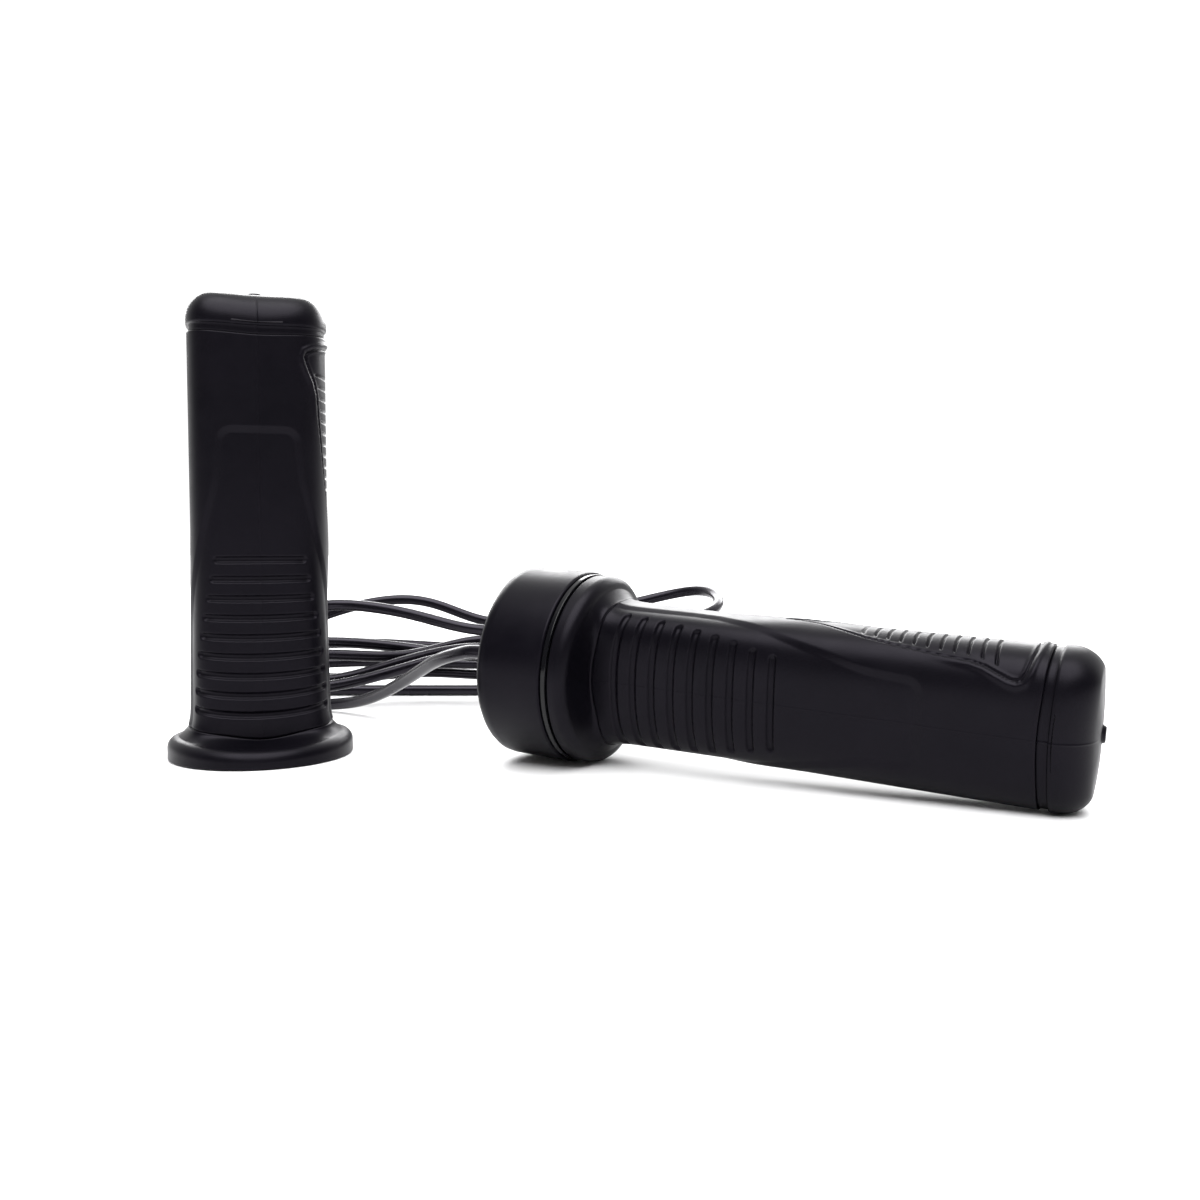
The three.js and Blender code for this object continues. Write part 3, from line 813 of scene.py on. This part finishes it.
def add_plug(prefix, matrix):
    """The butt plug: spigot, sunk band, and a domed soft block with the mould's gate mark."""
    bottom, block = bowed(GRIP_TOP) + PLUG_GAP, bowed(PLUG_BOTTOM)
    proud = crown(block) + seam_ridge(PLUG_SEAM)
    spigot, start = SPIGOT
    rows = [section.round(spigot - SPIGOT_EDGE, start), section.round(spigot, start + SPIGOT_EDGE)]
    rows += [section.round(spigot, PLUG_SEAT[0]), section.round(BORE - 0.1, PLUG_SEAT[1])]
    rows += [section.oval(PLUG_UNDERSIDE, bottom), section.oval(BAND_DEPTH + 0.1, bottom)]
    for t in (0.05, 0.3, 0.6, 0.9):
        rows.append(section.oval(BAND_DEPTH - proud, bottom + (block - bottom) * t))
    for inset, above in PLUG_LIP:
        rows.append(section.oval(inset - proud, block + above))
    shoulder, rounding = bowed(PLUG_SHOULDER), bowed(PLUG_ROUNDING)
    for degrees in np.linspace(0, DOME_DEGREES, DOME_ROWS):
        angle = math.radians(degrees)
        inset = rounding * (1 - math.cos(angle)) ** DOME_FULLNESS - PLUG_PROUD
        height = shoulder + (PLUG_TOP - shoulder) * math.sin(angle)
        rows.append(section.oval(inset - proud, height))
    edge = rows[-1]
    dome_top = edge[:, 2].mean() + PLUG_DOME
    ring = section.round(GATE_RADIUS + GATE_EDGE, dome_top - 0.1)
    for t in (0.12, 0.3, 0.5, 0.7, 0.88, 1):
        row = edge + (ring - edge) * t
        row[:, 2] = edge[:, 2] + (ring[:, 2] - edge[:, 2]) * (1 - (1 - t) ** 2)
        rows.append(row)
    gate_top = dome_top + GATE_HEIGHT
    rows += [
        section.round(GATE_RADIUS, gate_top - GATE_EDGE), section.round(GATE_RADIUS - 0.2, gate_top),
        section.round(GATE_RADIUS - 0.5, gate_top), section.round(0.5, gate_top),
    ]
    return add_piece(
        f"{prefix}_plug_fine", rows, matrix, ROOT, f"{prefix}_end_plug",
        grip_plastic, ends="axis",
    )


grip_plastic = grip_material()
NOTCH_HALF_WIDTH = 3.3
NOTCH_HEIGHT = 6.6


def cut_notch(grip):
    """Cuts the arched way out for the cord through the back of the standing handle's flange."""
    arch = [(-NOTCH_HALF_WIDTH, -2), (NOTCH_HALF_WIDTH, -2)]
    for degrees in range(0, 181, 12):
        angle = math.radians(degrees)
        arch.append((
            NOTCH_HALF_WIDTH * math.cos(angle),
            NOTCH_HEIGHT - NOTCH_HALF_WIDTH + NOTCH_HALF_WIDTH * math.sin(angle),
        ))
    count = len(arch)
    points = [(reach, across, up) for reach in (5, FLANGE + 4) for across, up in arch]
    faces = [list(range(count))[::-1], list(range(count, 2 * count))]
    faces += [[i, (i + 1) % count, count + (i + 1) % count, count + i] for i in range(count)]
    mesh = bpy.data.meshes.new("notch")
    mesh.from_pydata(points, [], faces)
    turn = Matrix.Rotation(NOTCH_HEADING - UPRIGHT_YAW, 4, "Z")
    mesh.transform(upright_matrix @ turn)
    cutter = bpy.data.objects.new("notch", mesh)
    bpy.context.scene.collection.objects.link(cutter)
    cut = grip.modifiers.new("notch", "BOOLEAN")
    cut.operation = "DIFFERENCE"
    cut.solver = "EXACT"
    cut.object = cutter
    graph = bpy.context.evaluated_depsgraph_get()
    result = bpy.data.meshes.new_from_object(grip.evaluated_get(graph))
    grip.modifiers.clear()
    grip.data = result
    bpy.data.objects.remove(cutter)


upright_grip = add_grip("upright", upright_matrix)
cut_notch(upright_grip)
add_plug("upright", upright_matrix)
add_grip("lying", lying_matrix)
add_plug("lying", lying_matrix)


# ---- swivel housing ------------------------------------------------------------------------------
CAP_RADIUS = 29.9
CAP_FACE = -25.3
CAP_WALL = 3
CAP_MOUTH = -2.1
NECK_FACE = -1.8
NECK_RADIUS = 29.3
GROMMET = 4.6
CORD_CLEARANCE = 2.9


def add_housing():
    """The cap, the grommet in its face and the glossy neck ring that the cap snaps on."""
    hole = GROMMET + 0.3
    inner = CAP_RADIUS - CAP_WALL
    add_turned("head_cap_fine", (
        (hole, CAP_FACE, 0.4), (CAP_RADIUS, CAP_FACE, 4.2), (CAP_RADIUS, CAP_MOUTH, 0.7),
        (inner, CAP_MOUTH, 0.4), (inner, CAP_FACE + CAP_WALL, 1.2), (hole, CAP_FACE + CAP_WALL, 0.4),
    ), lying_matrix, "swivel_housing", "head_cap", cap_material())
    lip = GROMMET + 2
    outside, inside = CAP_FACE - 0.3, CAP_FACE + CAP_WALL + 0.3
    add_turned("cap_grommet_fine", (
        (CORD_CLEARANCE, outside - 0.9, 0.4), (lip, outside - 0.9, 0.5), (lip, outside, 0.2),
        (GROMMET, outside, 0.1), (GROMMET, inside, 0.1), (lip, inside, 0.2),
        (lip, inside + 0.9, 0.5), (CORD_CLEARANCE, inside + 0.9, 0.4),
    ), lying_matrix, "swivel_housing", "cap_grommet", rubber_material())
    boss = inner - 0.3
    spigot = BORE - 0.3
    bore = spigot - 2.4
    add_turned("neck_ring_fine", (
        (bore, NECK_FACE - 8, 0.4), (boss, NECK_FACE - 8, 1), (boss, NECK_FACE, 0.1),
        (NECK_RADIUS, NECK_FACE, 0.25), (NECK_RADIUS, -0.3, 0.25), (spigot, -0.3, 0.1),
        (spigot, 8, 0.5), (bore, 8, 0.3),
    ), lying_matrix, ROOT, "neck_ring", neck_material())


add_housing()


# ---- inner pieces --------------------------------------------------------------------------------
def finish_inner_pieces():
    """Gives the CAD pieces that stay their own materials."""
    core, nylon, steel = core_material(), nylon_material(), steel_material()
    looks = {
        "core_tube": core, "bush_carrier": core, "swivel_bush": nylon, "spindle": steel,
        "thrust_washer": steel, "retaining_clip": steel, "clamp_screw": steel,
    }
    for prefix in ("upright", "lying"):
        for part, material in looks.items():
            data = frame["nodes"][f"{prefix}_{part}"].data
            data.materials.clear()
            data.materials.append(material)


finish_inner_pieces()


# ---- floor and light -----------------------------------------------------------------------------
FLOOR_HALF = 4.0
FLOOR_COLOUR = (0.85, 0.85, 0.855)
FLOOR_ROUGHNESS = 0.6
SKY_ENERGY = 5.2
SKY_ANGLE = math.radians(62)
SKY_TILT = math.radians(21)
STRIP_AT = (0, 1.1, 0.6)
STRIP_TARGET = (0, 0, 0.05)
STRIP_SIZE = (1.8, 0.45)
STRIP_POWER = 24
# The surroundings' strength against how far a direction points away from the viewer.
SURROUNDINGS = (-0.30, 0.40, 0.18, 1.12)


def make_floor():
    """A wide, plain, pale floor."""
    mesh = bpy.data.meshes.new("floor")
    turns = ((-1, -1), (1, -1), (1, 1), (-1, 1))
    corners = [(x * FLOOR_HALF, y * FLOOR_HALF, 0) for x, y in turns]
    mesh.from_pydata(corners, [], [(0, 1, 2, 3)])
    shader = Shader("floor", FLOOR_COLOUR, FLOOR_ROUGHNESS)
    mesh.materials.append(shader.material)
    floor = bpy.data.objects.new("floor", mesh)
    bpy.context.scene.collection.objects.link(floor)


def add_area(name, place, target, size, power):
    """A soft rectangular light that looks at a point."""
    data = bpy.data.lights.new(name, "AREA")
    data.shape = "RECTANGLE"
    data.size, data.size_y = size
    data.energy = power
    light = bpy.data.objects.new(name, data)
    light.location = place
    look = Vector(target) - Vector(place)
    light.rotation_euler = look.to_track_quat("-Z", "Y").to_euler()
    light.visible_camera = False
    bpy.context.scene.collection.objects.link(light)


def add_sky_light():
    """A very wide, even light from above and a little in front, which keeps the floor white."""
    data = bpy.data.lights.new("sky", "SUN")
    data.energy = SKY_ENERGY
    data.angle = SKY_ANGLE
    light = bpy.data.objects.new("sky", data)
    light.rotation_euler = (SKY_TILT, 0, 0)
    bpy.context.scene.collection.objects.link(light)


def make_world():
    """White studio surroundings, bright behind the rope and dim on the viewer's side."""
    world = bpy.data.worlds.new("studio")
    world.use_nodes = True
    nodes, links = world.node_tree.nodes, world.node_tree.links
    direction = nodes.new("ShaderNodeSeparateXYZ")
    links.new(nodes.new("ShaderNodeTexCoord").outputs["Generated"], direction.inputs["Vector"])
    ramp = nodes.new("ShaderNodeMapRange")
    ramp.interpolation_type = "SMOOTHSTEP"
    for socket, value in zip(RANGE_SOCKETS, SURROUNDINGS):
        ramp.inputs[socket].default_value = value
    links.new(direction.outputs["Y"], ramp.inputs["Value"])
    links.new(ramp.outputs["Result"], nodes["Background"].inputs["Strength"])
    nodes["Background"].inputs["Color"].default_value = (1, 1, 1, 1)
    bpy.context.scene.world = world


make_floor()
make_world()
add_sky_light()
add_area("strip_back", STRIP_AT, STRIP_TARGET, STRIP_SIZE, STRIP_POWER)
bpy.context.scene.view_settings.view_transform = "Standard"
